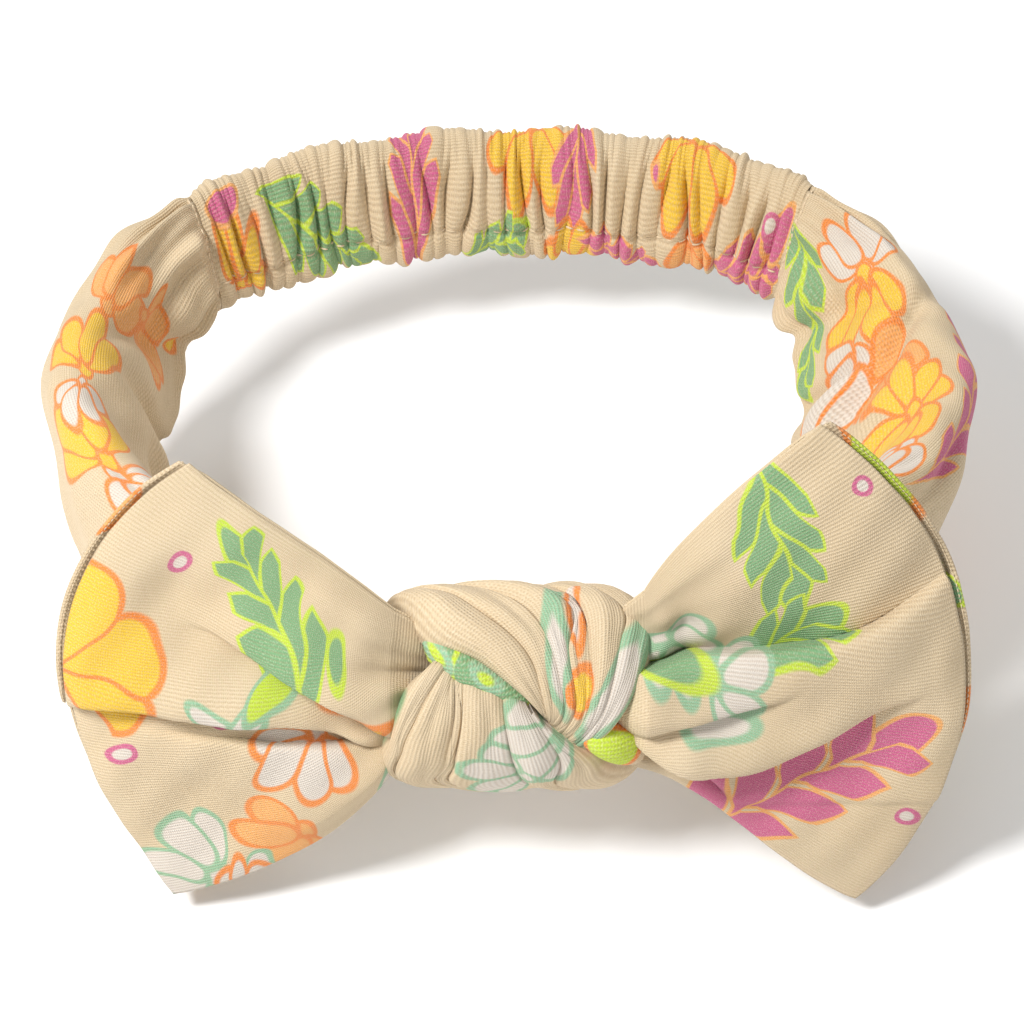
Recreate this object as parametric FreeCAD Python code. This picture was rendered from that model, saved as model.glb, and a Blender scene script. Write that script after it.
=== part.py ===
"""Knotted bow headband: a gathered elastic casing, two side bands, a half knot and two bow tails.

Millimetres. The bow faces -Y, the gathered casing is at +Y and +Z is up. Left and right are as seen
from the front, so the right side is at +X. The origin is on the resting plane, below the middle of
the whole headband.
"""

import math
import os

import FreeCAD
import Part

V = FreeCAD.Vector
UP = V(0, 0, 1)

# Loop centreline, seen from above
LOOP_X = 0.4                # middle of the loop in the part's frame
LOOP_Y = 11.3
LEFT_HALF_WIDTH = 87.0
RIGHT_HALF_WIDTH = 78.0
HALF_DEPTH = 67.0
LEFT_SQUARENESS = ((0, 0.016), (180, 0.016))        # how much fuller than an ellipse the loop is
RIGHT_SQUARENESS = ((50, 0.016), (110, 0.05))       # at angles round each side
LEFT_EGG = 0.07             # how far each side's widest place sits behind the middle of the loop
RIGHT_EGG = -0.03
KNOT_Z = 42.4               # height of the centreline at the knot
SIDE_Z = 29.5               # and where the side bands are widest
REAR_Z = 42.4               # and along the elastic casing

# Angles round the loop from the knot, in degrees, positive to +X
BAND_START = 19.0
JOIN_ANGLE = 134.0
CASING_TRIM = 1.0           # opens the join gap that the join thread lies in

# Cross-section of the bands, measured from the centreline
ROOT_HALF_HEIGHT = 14.0
SIDE_HALF_HEIGHT = 30.0
REAR_HALF_HEIGHT = 15.5
ROOT_PUFF = 4.2
SIDE_PUFF = 6.0
REAR_PUFF = 3.2
# Degrees the top edge leans outwards (inwards where negative), at angles round each side
LEFT_LEAN = ((0, -25.0), (38, -18.0), (84, 10.0), (115, 12.0), (140, 16.0))
RIGHT_LEAN = ((0, -25.0), (46, -18.0), (88, 26.0), (118, 26.0), (140, 16.0))

# Materials' thickness
CLOTH = 1.0                 # one layer of jersey
SEAM_GAP = 1.5              # between two panels at their shared edge, where the thread lies
THREAD_R = 0.42
BAND_SEAM_INSET = 1.3       # from a band's edge to the middle of its edge thread
ELASTIC_THICKNESS = 1.2
ELASTIC_HALF_HEIGHT = 12.5
CASING_SEAM_HEIGHT = -0.5   # share of the casing's half height at which its stitch line runs

# Knot
KNOT_Y = LOOP_Y - 70.0
KNOT_HALF = V(26.0, 16.0, 21.5)
TUNNEL_R = 10.4             # passage through the wraps that holds both strands
STRAND_R = 4.4
STRAND_OFFSET = 5.2         # of each strand's axis from the knot's axis
STRAND_HALF_LENGTH = 21.5
WRAP_GAP = 0.5
WRAP_SPLIT_ANGLE = 32.0     # slope of the line where the two wraps meet, seen from the front

# Bow tails, in their own leaning plane: x from the knot, v up the plane
TAIL_LEAN = 25.0
TAIL_Y = KNOT_Y - STRAND_OFFSET
TAIL_PUFF = 3.6
TAIL_ROOT_PUFF = 1.6
TAIL_CLOSES_FROM = 0.86     # share of the tail's length beyond which its two panels close up
TAIL_SEAM_INSET = 0.012     # share of the tail's width between its edge and the edge thread
LEFT_TAIL = {               # four Bezier edges; each tail widens from its root at the knot to its end
    "root": ((-27.4, -12.0), (-28.4, -3.0), (-28.4, 10.0), (-27.4, 20.0)),
    "lower": ((-27.4, -12.0), (-36.0, -31.0), (-52.0, -40.0), (-69.0, -43.8)),
    "upper": ((-27.4, 20.0), (-38.0, 32.0), (-50.0, 40.0), (-63.0, 51.0)),
    "end": ((-69.0, -43.8), (-86.0, -18.0), (-105.0, 22.0), (-63.0, 51.0)),
}
RIGHT_TAIL = {
    "root": ((27.4, -12.0), (28.4, -3.0), (28.4, 12.0), (27.4, 23.0)),
    "lower": ((27.4, -12.0), (38.0, -17.0), (54.0, -38.0), (68.0, -44.8)),
    "upper": ((27.4, 23.0), (32.0, 35.0), (45.0, 48.0), (58.0, 59.0)),
    "end": ((68.0, -44.8), (93.0, -22.0), (98.5, 30.0), (58.0, 59.0)),
}

# How many sections the curved surfaces are drawn through
BAND_SECTIONS = 25
BAND_SEAM_SECTIONS = 23
CASING_SECTIONS = 15
ROUND_SECTIONS = 13
PANEL_SECTIONS = 9


def smooth(start, end, x):
    """0 before start, 1 after end, and a smooth step between."""
    t = min(max((x - start) / (end - start), 0.0), 1.0)
    return t * t * (3 - 2 * t)


def profile(angle, stops):
    """Value at an angle from a list of (angle, value) stops, with smooth steps between them."""
    value = stops[0][1]
    for (a, u), (b, w) in zip(stops, stops[1:]):
        value += (w - u) * smooth(a, b, abs(angle))
    return value


def centre(angle):
    """Point on the loop's centreline."""
    a = math.radians(angle)
    egg = 1 - (LEFT_EGG if angle < 0 else RIGHT_EGG) * math.cos(a)
    half_width = LEFT_HALF_WIDTH if angle < 0 else RIGHT_HALF_WIDTH
    square = profile(angle, LEFT_SQUARENESS if angle < 0 else RIGHT_SQUARENESS)
    x = half_width * egg * (math.sin(a) + square * math.sin(3 * a)) / (1 - square)
    y = -HALF_DEPTH * (math.cos(a) - square * math.cos(3 * a)) / (1 - square)
    z = profile(angle, [(0, KNOT_Z), (60, SIDE_Z), (100, SIDE_Z + 1.0), (135, REAR_Z)])
    return V(LOOP_X + x, LOOP_Y + y, z)


def frame(angle):
    """Centre, direction up the cloth and the cloth's outward normal at an angle round the loop."""
    along = centre(angle + 0.5) - centre(angle - 0.5)
    along.z = 0
    outward = along.cross(UP).normalize()
    lean = math.radians(profile(angle, LEFT_LEAN if angle < 0 else RIGHT_LEAN))
    up = UP * math.cos(lean) + outward * math.sin(lean)
    normal = outward * math.cos(lean) - UP * math.sin(lean)
    return centre(angle), up, normal


def half_height(angle):
    return profile(angle, [(8, ROOT_HALF_HEIGHT), (60, SIDE_HALF_HEIGHT), (90, SIDE_HALF_HEIGHT),
                           (JOIN_ANGLE, REAR_HALF_HEIGHT)])


def puff(angle):
    """Half the hollow thickness of the band at its middle."""
    return profile(angle, [(8, ROOT_PUFF), (60, SIDE_PUFF), (100, SIDE_PUFF), (JOIN_ANGLE, REAR_PUFF)])


def crown(v):
    """Share of the puff at height v, from -1 at the lower edge to 1 at the upper edge."""
    return max(0.0, 1 - v * v) ** 0.75


def spread(first, last, count):
    return [first + (last - first) * i / (count - 1) for i in range(count)]


def grid_surface(rows):
    surface = Part.BSplineSurface()
    surface.interpolate(rows)
    return surface


def borders(surface):
    """The four border curves of a surface, in the same order for every surface."""
    u0, u1, v0, v1 = surface.bounds()
    curves = [surface.uIso(u0), surface.uIso(u1), surface.vIso(v0), surface.vIso(v1)]
    return [c.toShape() for c in curves]


def slab(near, far):
    """Closed solid between two grids of points of the same size."""
    near, far = grid_surface(near), grid_surface(far)
    faces = [near.toShape(), far.toShape()]
    for a, b in zip(borders(near), borders(far)):
        faces.append(Part.makeRuledSurface(a, b))
    shell = Part.makeShell(faces)
    shell.sewShape()
    shell = Part.Shell(shell.Faces)
    solid = Part.makeSolid(shell)
    solid.fix(1e-6, 1e-6, 1e-4)
    if solid.Volume < 0:
        solid.reverse()
    return solid


def band_panel(sign, inside=False):
    """One cloth panel of a side band, on its outer or its inner side."""
    rows = {0.0: [], CLOTH: []}
    side = -1 if inside else 1
    for angle in spread(BAND_START, JOIN_ANGLE - CASING_TRIM, BAND_SECTIONS):
        c, up, normal = frame(sign * angle)
        for depth, grid in rows.items():
            row = []
            for v in spread(-1.0, 1.0, PANEL_SECTIONS):
                offset = SEAM_GAP / 2 + puff(angle) * crown(v) + depth
                row.append(c + up * (v * half_height(angle)) + normal * (side * offset))
            grid.append(row)
    return slab(rows[0.0], rows[CLOTH])


def oval(place, tall, deep):
    """Oval with half axes tall and deep, which are vectors from its centre."""
    return Part.Wire(Part.Ellipse(place + tall, place + deep, place).toShape())


def tube_along(points, radius, sections=ROUND_SECTIONS):
    """Round thread lofted along a smooth curve through points, with no twist."""
    line = Part.BSplineCurve()
    line.interpolate(points)
    side = V(0.1, 0.2, 1.0)
    rings = []
    for place in spread(line.FirstParameter, line.LastParameter, sections):
        along = line.tangent(place)[0]
        side = (side - along * side.dot(along)).normalize()
        across = along.cross(side)
        rings.append(oval(line.value(place), side * (radius * 1.001), across * radius))
    return Part.makeLoft(rings, True)


def wrap(angle):
    """The same angle between -180 and 180."""
    return angle if angle <= 180 else angle - 360


def casing_ring(angle, extra):
    """Oval across the casing at an angle, extra outside the hollow."""
    c, up, normal = frame(angle)
    return oval(c, up * (half_height(angle) - CLOTH + extra), normal * (puff(angle) + extra))


def rear_casing():
    """Fabric tube round the elastic, hollow from end to end."""
    reach = 180 - JOIN_ANGLE - CASING_TRIM
    angles = spread(180 - reach, 180 + reach, ROUND_SECTIONS)
    longer = spread(180 - reach - 1.0, 180 + reach + 1.0, ROUND_SECTIONS)
    outer = Part.makeLoft([casing_ring(wrap(a), CLOTH) for a in angles], True)
    hollow = Part.makeLoft([casing_ring(wrap(a), 0.0) for a in longer], True)
    return outer.cut(hollow)


def elastic_strip():
    """Flat elastic inside the casing, a little longer than it so that both ends reach the joins."""
    reach = 180 - JOIN_ANGLE - 0.1
    near, far = [], []
    for angle in spread(180 - reach, 180 + reach, CASING_SECTIONS):
        c, up, normal = frame(wrap(angle))
        heights = spread(-ELASTIC_HALF_HEIGHT, ELASTIC_HALF_HEIGHT, 4)
        near.append([c + up * h - normal * (ELASTIC_THICKNESS / 2) for h in heights])
        far.append([c + up * h + normal * (ELASTIC_THICKNESS / 2) for h in heights])
    return slab(near, far)


def join_seam(angle):
    """Ring of thread between the casing's end and a side band's end."""
    ring = casing_ring(angle, CLOTH / 2)
    path = ring.Edges[0]
    start = path.valueAt(path.FirstParameter)
    section = Part.Wire(Part.makeCircle(THREAD_R, start, path.tangentAt(path.FirstParameter)))
    return ring.makePipeShell([section], True, True)


def casing_seam():
    """Lengthwise stitch line on the casing's inner face, three quarters of the way down."""
    points = []
    v = CASING_SEAM_HEIGHT
    for angle in spread(JOIN_ANGLE + 2, 360 - JOIN_ANGLE - 2, CASING_SECTIONS):
        c, up, normal = frame(wrap(angle))
        tall = half_height(wrap(angle))
        surface = (puff(wrap(angle)) + CLOTH) * math.sqrt(1 - v * v)
        points.append(c + up * (v * tall) - normal * (surface + THREAD_R + 0.08))
    return tube_along(points, THREAD_R)


def band_edge_seams(sign):
    """Thread along the upper and the lower edge of a side band, between its two panels."""
    threads = []
    for v in (-1, 1):
        points = []
        for angle in spread(BAND_START + 3, JOIN_ANGLE - 3, BAND_SECTIONS):
            c, up, _ = frame(sign * angle)
            points.append(c + up * (v * (half_height(angle) - BAND_SEAM_INSET)))
        threads.append(tube_along(points, THREAD_R, BAND_SEAM_SECTIONS))
    return Part.makeCompound(threads)


def bezier(stops, t):
    """Point on the cubic Bezier curve with these four control points."""
    k = (1 - t) ** 3, 3 * t * (1 - t) ** 2, 3 * t * t * (1 - t), t ** 3
    return V(sum(w * p[0] for w, p in zip(k, stops)), sum(w * p[1] for w, p in zip(k, stops)), 0)


def tail_point(outline, s, w):
    """Point inside a tail's outline: s from root 0 to end 1, w from lower edge 0 to upper edge 1."""
    low, high = bezier(outline["lower"], s), bezier(outline["upper"], s)
    root, end = bezier(outline["root"], w), bezier(outline["end"], w)
    flat = (low * (1 - w) + high * w) + (root * (1 - s) + end * s)
    low_root, high_root = bezier(outline["root"], 0), bezier(outline["root"], 1)
    low_end, high_end = bezier(outline["end"], 0), bezier(outline["end"], 1)
    counted_twice = (low_root * (1 - w) + high_root * w) * (1 - s) + (low_end * (1 - w) + high_end * w) * s
    return flat - counted_twice


def in_tail_plane(point):
    """A flat outline point set up in the tails' leaning plane."""
    lean = math.radians(TAIL_LEAN)
    return V(LOOP_X + point.x, TAIL_Y + point.y * math.sin(lean), KNOT_Z + point.y * math.cos(lean))


def tail_offset(s, w):
    """Half the hollow between a tail's two panels."""
    across = (4 * w * (1 - w)) ** 0.6
    along = TAIL_ROOT_PUFF + (TAIL_PUFF - TAIL_ROOT_PUFF) * math.sin(math.pi * min(s * 1.1, 1)) ** 0.8
    closed_end = 1 - smooth(TAIL_CLOSES_FROM, 1.0, s)
    return SEAM_GAP / 2 + across * along * closed_end


def tail_panel(outline, inside=False):
    """One cloth panel of a tail, on its front or its back."""
    lean = math.radians(TAIL_LEAN)
    out = V(0, -math.cos(lean), math.sin(lean)) * (-1 if inside else 1)
    rows = {0.0: [], CLOTH: []}
    for s in spread(0.0, 1.0, PANEL_SECTIONS):
        for depth, grid in rows.items():
            row = []
            for w in spread(0.0, 1.0, PANEL_SECTIONS):
                point = in_tail_plane(tail_point(outline, s, w))
                row.append(point + out * (tail_offset(s, w) + depth))
            grid.append(row)
    return slab(rows[0.0], rows[CLOTH])


def tail_edge_seam(outline):
    """Threads along a tail's lower edge, end and upper edge, between its two panels."""
    near, far = TAIL_SEAM_INSET, 1 - TAIL_SEAM_INSET
    along = spread(0.04, 0.95, PANEL_SECTIONS)
    paths = [[(s, near) for s in along], [(far, w) for w in along], [(s, far) for s in along]]
    threads = []
    for path in paths:
        points = [in_tail_plane(tail_point(outline, s, w)) for s, w in path]
        threads.append(tube_along(points, THREAD_R))
    return Part.makeCompound(threads)


def knot_axes():
    """Placement of the knot: its long axis along X, its height leaning like the tails."""
    return FreeCAD.Placement(V(LOOP_X, KNOT_Y, KNOT_Z), FreeCAD.Rotation(V(1, 0, 0), -TAIL_LEAN))


def knot_wraps():
    """The upper and lower turns of cloth: two halves of a hollow bead that meet along a slanting line."""
    bead = Part.makeSphere(1.0)
    stretch = FreeCAD.Matrix()
    stretch.scale(KNOT_HALF)
    bead = bead.transformGeometry(stretch)
    tunnel = Part.makeCylinder(TUNNEL_R, 4 * KNOT_HALF.x, V(-2 * KNOT_HALF.x, 0, 0), V(1, 0, 0))
    ring = bead.cut(tunnel)
    size = 4 * KNOT_HALF.x
    box = Part.makeBox(size, size, size, V(-size / 2, -size / 2, WRAP_GAP / 2))
    box.rotate(V(0, 0, 0), V(0, 1, 0), WRAP_SPLIT_ANGLE)
    other = Part.makeBox(size, size, size, V(-size / 2, -size / 2, -size - WRAP_GAP / 2))
    other.rotate(V(0, 0, 0), V(0, 1, 0), WRAP_SPLIT_ANGLE)
    halves = [ring.common(box), ring.common(other)]
    for half in halves:
        half.Placement = knot_axes()
    return halves


def knot_strand(sign):
    """One sash inside the knot: a half turn round the other, from the band behind to the tail in front."""
    points = []
    for t in spread(-1.0, 1.0, PANEL_SECTIONS):
        turn = math.pi / 2 * t
        y = -STRAND_OFFSET * math.sin(turn)
        z = sign * STRAND_OFFSET * math.cos(turn)
        points.append(V(sign * t * STRAND_HALF_LENGTH, y, z))
    strand = tube_along(points, STRAND_R)
    strand.Placement = knot_axes()
    return strand


def write(name, shape):
    """Saves one part, after saying whether its solids are sound."""
    solids = shape.Solids
    for solid in solids:
        if not solid.isValid() or solid.Volume <= 0:
            print("PROBLEM", name, solid.isValid(), solid.Volume)
    kept = solids[0] if len(solids) == 1 else Part.makeCompound(solids)
    kept.exportStep("parts/" + name + ".step")
    print(name, len(solids), round(kept.Volume, 1))


def main():
    os.makedirs("parts", exist_ok=True)
    write("rear_casing", rear_casing())
    write("elastic_strip", elastic_strip())
    write("casing_seam_stitching", casing_seam())
    upper, lower = knot_wraps()
    write("knot_upper_wrap", upper)
    write("knot_lower_wrap", lower)
    for side, sign, outline in (("left", -1, LEFT_TAIL), ("right", 1, RIGHT_TAIL)):
        write(side + "_band_outer_panel", band_panel(sign))
        write(side + "_band_inner_panel", band_panel(sign, inside=True))
        write(side + "_band_edge_seams", band_edge_seams(sign))
        write(side + "_join_seam", join_seam(sign * JOIN_ANGLE))
        write("knot_" + side + "_strand", knot_strand(-sign))
        write(side + "_tail_front_panel", tail_panel(outline))
        write(side + "_tail_back_panel", tail_panel(outline, inside=True))
        write(side + "_tail_edge_seam", tail_edge_seam(outline))


main()
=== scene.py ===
import functools
import math

import bpy
import numpy as np
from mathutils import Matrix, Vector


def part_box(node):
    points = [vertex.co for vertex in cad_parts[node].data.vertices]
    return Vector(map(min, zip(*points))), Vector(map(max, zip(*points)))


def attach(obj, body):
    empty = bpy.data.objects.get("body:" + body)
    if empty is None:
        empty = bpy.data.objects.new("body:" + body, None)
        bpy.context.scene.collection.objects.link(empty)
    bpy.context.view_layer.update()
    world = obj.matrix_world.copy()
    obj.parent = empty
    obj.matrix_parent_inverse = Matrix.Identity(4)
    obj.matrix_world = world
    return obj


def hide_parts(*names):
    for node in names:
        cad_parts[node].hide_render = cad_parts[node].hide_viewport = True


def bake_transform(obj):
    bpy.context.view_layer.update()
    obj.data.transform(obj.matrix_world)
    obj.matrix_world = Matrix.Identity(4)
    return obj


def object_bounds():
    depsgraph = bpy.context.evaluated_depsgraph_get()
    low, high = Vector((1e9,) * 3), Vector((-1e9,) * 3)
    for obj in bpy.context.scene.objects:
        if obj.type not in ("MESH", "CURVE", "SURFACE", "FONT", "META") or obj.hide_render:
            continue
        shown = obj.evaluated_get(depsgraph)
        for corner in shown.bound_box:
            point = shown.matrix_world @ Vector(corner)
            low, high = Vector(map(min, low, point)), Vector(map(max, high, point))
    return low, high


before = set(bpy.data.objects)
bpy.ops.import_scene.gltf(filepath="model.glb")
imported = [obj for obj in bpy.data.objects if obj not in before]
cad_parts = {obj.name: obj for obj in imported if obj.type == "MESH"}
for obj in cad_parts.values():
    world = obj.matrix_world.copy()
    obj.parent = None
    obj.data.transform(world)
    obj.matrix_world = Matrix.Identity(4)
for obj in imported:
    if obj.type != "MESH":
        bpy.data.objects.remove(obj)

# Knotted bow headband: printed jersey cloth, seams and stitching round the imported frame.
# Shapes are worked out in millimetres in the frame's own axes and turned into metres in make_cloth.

cad_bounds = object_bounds()
MM = 0.001
TAU = 2 * math.pi
SIDE = {-1: "left", 1: "right"}

# ---- places taken from the frame


def middle_of(*nodes):
    """Middle of the box round some nodes of the frame."""
    lows, highs = zip(*[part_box(node) for node in nodes])
    return (np.min(lows, axis=0) / MM + np.max(highs, axis=0) / MM) / 2


KNOT = middle_of("knot_left_strand", "knot_right_strand")
FLOOR_Z = np.array(cad_bounds[0])[2] / MM
KNOT_TO_LOOP = 70.0  # from the knot's middle back to the loop's middle
LOOP = np.array([KNOT[0], KNOT[1] + KNOT_TO_LOOP, 0.0])  # on the frame's base plane

# ---- loop

HALF_WIDTH = {-1: 87.0, 1: 78.0}
HALF_DEPTH = 67.0
SQUARENESS = {-1: ((0, 0.016), (180, 0.016)), 1: ((50, 0.016), (110, 0.05))}
EGG = {-1: 0.07, 1: -0.03}
KNOT_Z = KNOT[2]
SIDE_Z = KNOT_Z - 12.9  # the centreline dips at the sides
JOIN_ANGLE = 134.0
BAND_FIRST = 13.0  # the bands' cloth runs on into the knot
BAND_HELD = 15.0  # angle of a point near the knot, worked out in band but not used
BAND_FREE = 34.0  # and of a point further round, likewise not used
BAND_HALF_THICK = 9.5
CASING_HALF_THICK = 3.8
CLOTH_THICK = 0.8
BLUNT = 0.88  # under 1, the tube's edges are blunter than an ellipse's
LEAN = {  # degrees the top edge leans outwards, at angles round each side
    -1: ((0, -25.0), (38, -18.0), (84, 10.0), (115, 12.0), (140, 16.0)),
    1: ((0, -25.0), (46, -18.0), (88, 26.0), (118, 26.0), (140, 16.0)),
}


def smooth(start, end, x):
    t = np.clip((x - start) / (end - start), 0.0, 1.0)
    return t * t * (3 - 2 * t)


def profile(angle, *stops):
    """Value at an angle from (angle, value) stops, with smooth steps between them."""
    value = stops[0][1] + 0.0 * angle
    for (a, u), (b, w) in zip(stops, stops[1:]):
        value = value + (w - u) * smooth(a, b, np.abs(angle))
    return value


def by_side(angle, stops):
    """The left side's profile at negative angles, the right side's at positive ones."""
    return np.where(angle < 0, profile(angle, *stops[-1]), profile(angle, *stops[1]))


def centre(angle):
    """Points on the loop's centreline at angles from the knot, positive to +X."""
    a = np.radians(angle)
    egg = 1 - np.where(angle < 0, EGG[-1], EGG[1]) * np.cos(a)
    square = by_side(angle, SQUARENESS)
    width = np.where(angle < 0, HALF_WIDTH[-1], HALF_WIDTH[1]) * egg
    x = width * (np.sin(a) + square * np.sin(3 * a)) / (1 - square)
    y = -HALF_DEPTH * (np.cos(a) - square * np.cos(3 * a)) / (1 - square)
    z = profile(angle, (0, KNOT_Z), (60, SIDE_Z), (100, SIDE_Z + 1.0), (135, KNOT_Z))
    return LOOP + np.stack([x, y, z], -1)


def cross_axes(angle):
    """Unit directions up the cloth and out of its face at angles round the loop."""
    along = centre(angle + 0.5) - centre(angle - 0.5)
    along[..., 2] = 0
    outward = unit(np.cross(along, (0.0, 0.0, 1.0)))
    lean = np.radians(by_side(angle, LEAN))[..., None]
    z = np.array([0.0, 0.0, 1.0])
    return z * np.cos(lean) + outward * np.sin(lean), outward * np.cos(lean) - z * np.sin(lean)


def half_height(angle):
    return profile(angle, (8, 14.0), (60, 30.0), (90, 30.0), (JOIN_ANGLE, 15.5))


def half_thick(angle):
    return profile(angle, (8, 6.0), (60, BAND_HALF_THICK), (96, BAND_HALF_THICK),
                   (JOIN_ANGLE, CASING_HALF_THICK))


def tube_point(angle, turn, bulge):
    """Point on the loop's cloth tube: turn 0 is the top edge, a quarter turn the outer face."""
    up, out = cross_axes(angle)
    cos, sin = np.cos(turn), np.sin(turn)
    tall = (half_height(angle) + bulge) * np.sign(cos) * np.abs(cos) ** BLUNT
    deep = (half_thick(angle) + bulge) * np.sign(sin) * np.abs(sin) ** BLUNT
    return centre(angle) + up * tall[..., None] + out * deep[..., None]


def lengths(path):
    """Length along a path of points to each of them, from the first one."""
    steps = np.linalg.norm(np.diff(path, axis=0), axis=1)
    return np.concatenate([[0.0], np.cumsum(steps)])


def arc_length(angles):
    """Length round the centreline to each angle, as a column."""
    return lengths(centre(angles))[:, None]


# ---- meshes


def add_object(name, data):
    thing = bpy.data.objects.new(name, data)
    bpy.context.scene.collection.objects.link(thing)
    return thing


def uv_map(u, v, full_turn=0.0):
    """Flat coordinates for each grid point, and what v gains where a tube closes on itself."""
    return np.stack(np.broadcast_arrays(u, v), -1), np.array([0.0, full_turn])


def grid_quads(rows, cols, across):
    """Corners of the quads of a grid of points; as many across as columns close it to a tube."""
    i, j = np.meshgrid(np.arange(rows - 1), np.arange(across), indexing="ij")
    k = (j + 1) % cols
    return np.stack([i * cols + j, (i + 1) * cols + j, (i + 1) * cols + k, i * cols + k], -1).reshape(-1, 4)


def make_cloth(name, points, material, knit, flat_print=None, tube=False, thickness=0.0, flip=False):
    """Cloth sheet from a grid of points, with one UV map for the knit and one for the print."""
    rows, cols = points.shape[:2]
    quads = grid_quads(rows, cols, cols if tube else cols - 1)
    wrapped = np.ptp(quads % cols, axis=1) > 1  # these close the tube
    if flip:
        quads = quads[:, ::-1]
    mesh = bpy.data.meshes.new(name)
    mesh.from_pydata((points.reshape(-1, 3) * MM).tolist(), [], quads.tolist())
    mesh.shade_smooth()
    for label, uv in (("cloth", knit), ("print", flat_print or knit)):
        flat = uv[0].reshape(-1, 2)[quads]
        flat[(quads % cols == 0) & wrapped[:, None]] += uv[1]
        layer = mesh.uv_layers.new(name=label)
        layer.data.foreach_set("uv", flat.reshape(-1).astype(np.float32))
    mesh.update()
    piece = add_object(name, mesh)
    if thickness:
        solid = piece.modifiers.new("cloth", "SOLIDIFY")
        solid.thickness = thickness * MM
        solid.offset = -1.0
        apply_modifiers(piece)
    piece.data.materials.append(material)
    return piece


def apply_modifiers(piece):
    bpy.context.view_layer.update()
    graph = bpy.context.evaluated_depsgraph_get()
    final = bpy.data.meshes.new_from_object(piece.evaluated_get(graph))
    piece.modifiers.clear()
    piece.data = final


STITCH_SHARE = 0.78  # how much of the pitch a stitch covers
THREAD_SIDES = 8
THREAD_STATIONS = 7


def unit(vector):
    return vector / np.linalg.norm(vector, axis=-1, keepdims=True)


def at_length(along, points, place):
    return np.stack([np.interp(place, along, points[:, k]) for k in range(3)], -1)


def stitches(name, path, normals, pitch=2.6, radius=0.28):
    """A row of stitches lying on a path, each a small swollen grain of thread with closed ends."""
    along = lengths(path)
    count = max(2, int(along[-1] / pitch))
    place = (np.arange(count) + 0.5) * along[-1] / count
    reach = pitch * STITCH_SHARE / 2
    axis = (at_length(along, path, place + reach) - at_length(along, path, place - reach)) / 2
    normal = unit(at_length(along, normals, place))
    aside = unit(np.cross(axis, normal))
    s, r = np.meshgrid(np.linspace(-1, 1, THREAD_STATIONS), np.arange(THREAD_SIDES) * TAU / THREAD_SIDES,
                       indexing="ij")
    girth = radius * np.sqrt(np.maximum(0.02, 1 - s * s * 0.98))
    lift = radius * 0.7 * (1 - s * s) + girth * np.cos(r)
    middle = at_length(along, path, place)
    points = sum(part[:, None, None] * share[..., None] for part, share in
                 ((middle, s * 0 + 1), (axis, s), (normal, lift), (aside, girth * np.sin(r))))
    quads = grid_quads(THREAD_STATIONS, THREAD_SIDES, THREAD_SIDES)[:, ::-1]
    ring = np.arange(THREAD_SIDES)
    faces = []
    for first in np.arange(count) * s.size:
        faces += (quads + first).tolist()
        faces += [(ring[::-1] + first).tolist(), (ring + s.size - THREAD_SIDES + first).tolist()]
    mesh = bpy.data.meshes.new(name)
    mesh.from_pydata((points.reshape(-1, 3) * MM).tolist(), [], faces)
    mesh.shade_smooth()
    piece = add_object(name, mesh)
    piece.data.materials.append(thread_material())
    return piece


# ---- materials: a small formula language


def feed(tree, socket, item):
    """Links another node's output to a socket, or sets the socket to a plain number or colour."""
    if isinstance(item, Num):
        item = item.value
    if isinstance(item, bpy.types.NodeSocket):
        tree.links.new(item, socket)
    elif isinstance(item, tuple):
        socket.default_value = (*item, 1.0)
    else:
        socket.default_value = item


class Num:
    """A number inside a material, so that a pattern reads as a formula."""

    def __init__(self, tree, value):
        self.tree = tree
        self.value = value

    def op(self, kind, *others, clamp=False):
        node = self.tree.nodes.new("ShaderNodeMath")
        node.operation = kind
        node.use_clamp = clamp
        for socket, item in zip(node.inputs, (self,) + others):
            feed(self.tree, socket, item)
        return Num(self.tree, node.outputs[0])

    def __add__(self, other):
        return self.op("ADD", other)

    def __sub__(self, other):
        return self.op("SUBTRACT", other)

    def __mul__(self, other):
        return self.op("MULTIPLY", other)

    def __truediv__(self, other):
        return self.op("DIVIDE", other)

    def hypot(self, other):
        return (self * self + other * other).op("SQRT")

    def between(self, low, high):
        return self.op("MAXIMUM", low).op("MINIMUM", high)

    def inside(self, soft):
        """1 where this distance is negative, 0 where it is positive."""
        return self.op("MULTIPLY_ADD", -1.0 / soft, 0.5, clamp=True)


MIX_COLOR_INPUTS = (0, 6, 7)  # a colour mix node's factor and its two colours
MIX_COLOR_OUTPUT = 2


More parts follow.
